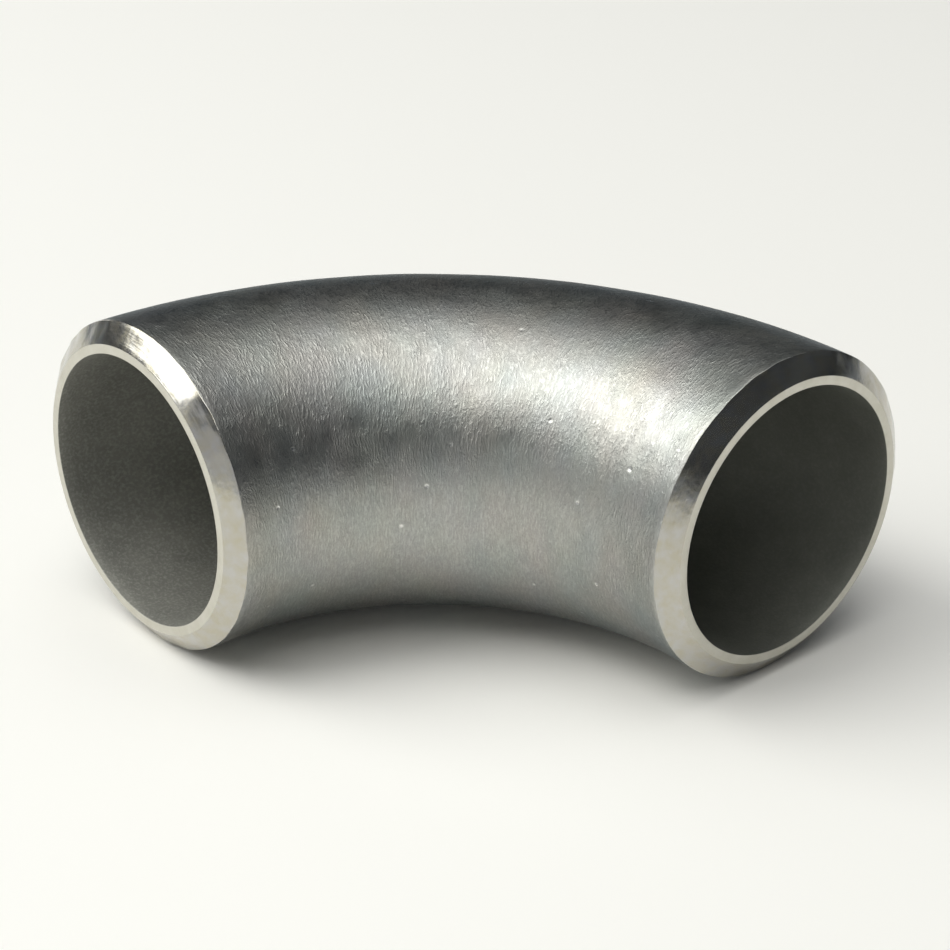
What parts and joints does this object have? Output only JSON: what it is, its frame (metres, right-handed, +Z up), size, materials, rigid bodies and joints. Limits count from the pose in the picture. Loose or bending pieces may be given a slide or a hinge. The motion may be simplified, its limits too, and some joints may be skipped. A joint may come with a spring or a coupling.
{
  "type": "pipe elbow",
  "caption": "Seamless stainless steel 90 degree long-radius pipe elbow with bevelled butt-weld ends, DN 50.",
  "frame": {"origin": "centre of the inlet's end face, on the bore's centre line", "axes": "-Y out of the inlet, +X out of the outlet; the bend's plane is level and +Z is up, so the elbow lies on its side"},
  "size_m": [0.1045, 0.1045, 0.057],
  "materials": {
    "stainless_steel": "satin, pickled skin with machined weld bevels"
  },
  "bodies": {
    "root": {"elbow_body": "stainless_steel"}
  },
  "joints": []
}
